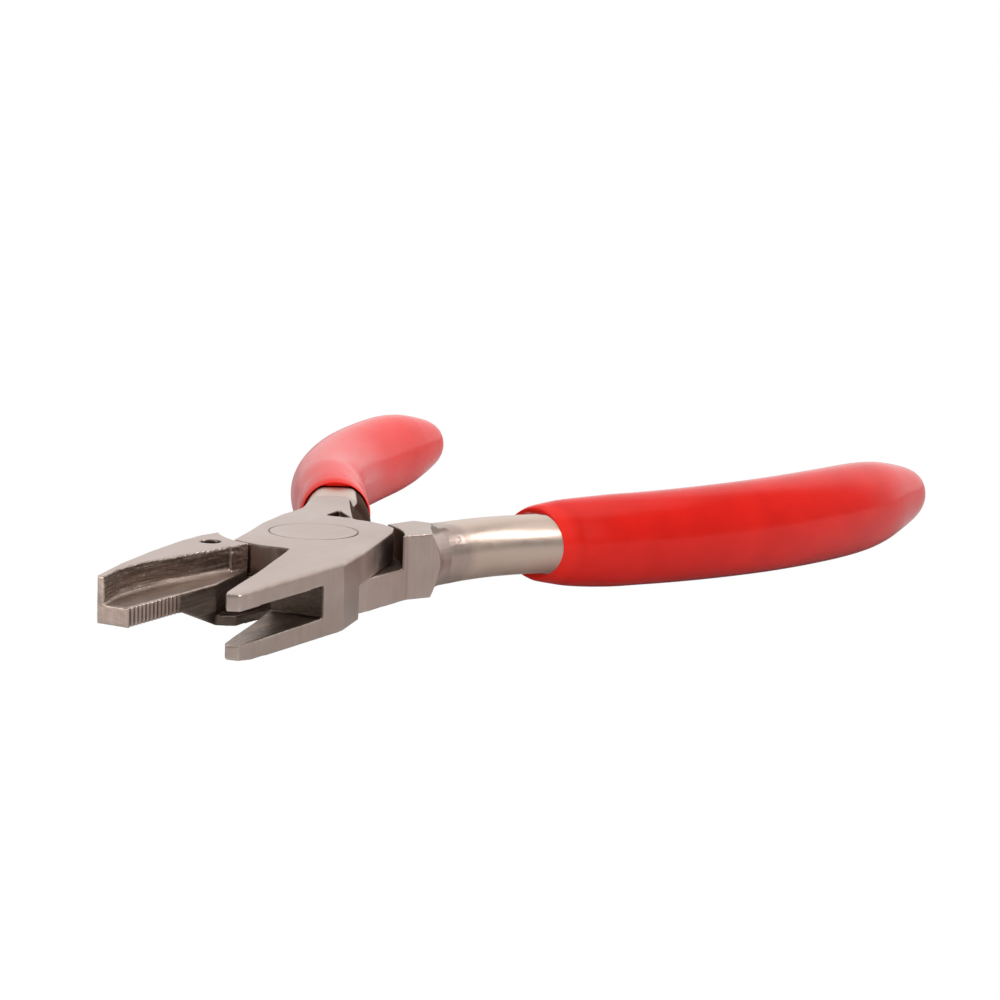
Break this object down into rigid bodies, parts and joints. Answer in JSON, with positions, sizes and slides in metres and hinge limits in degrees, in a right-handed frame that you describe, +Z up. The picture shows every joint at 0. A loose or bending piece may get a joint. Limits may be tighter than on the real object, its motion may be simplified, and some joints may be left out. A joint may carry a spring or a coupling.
{
  "type": "crimping pliers",
  "caption": "Hand pliers with a slotted fork jaw and an L-shaped serrated jaw on a flush riveted lap joint, and curved handles in dipped plastic grips.",
  "frame": {"origin": "on the rivet's axis at the flat underside of the joint", "axes": "+X along the pliers from the joint towards the jaws, +Z up along the rivet's axis, so +Y is the side of the fork jaw and of the near handle"},
  "size_m": [0.1603, 0.1013, 0.0148],
  "materials": {
    "lower_lever": "satin ground faces with fine brushing, coarser milling inside the jaw",
    "upper_lever": "satin ground faces with fine brushing, milled slot",
    "rivet": "ground flush with the joint's faces",
    "near_grip": "glossy dipped PVC",
    "far_grip": "glossy dipped PVC"
  },
  "bodies": {
    "lower_half": {"lower_lever": "lower_lever", "rivet": "rivet", "near_grip": "near_grip"},
    "upper_half": {"upper_lever": "upper_lever", "far_grip": "far_grip"}
  },
  "joints": [
    {"name": "rivet_pivot", "type": "hinge", "parent": "lower_half", "child": "upper_half", "pos_m": [0, 0, 0.0045], "axis": [0, 0, 1], "range_deg": [-17.5, 38]}
  ]
}
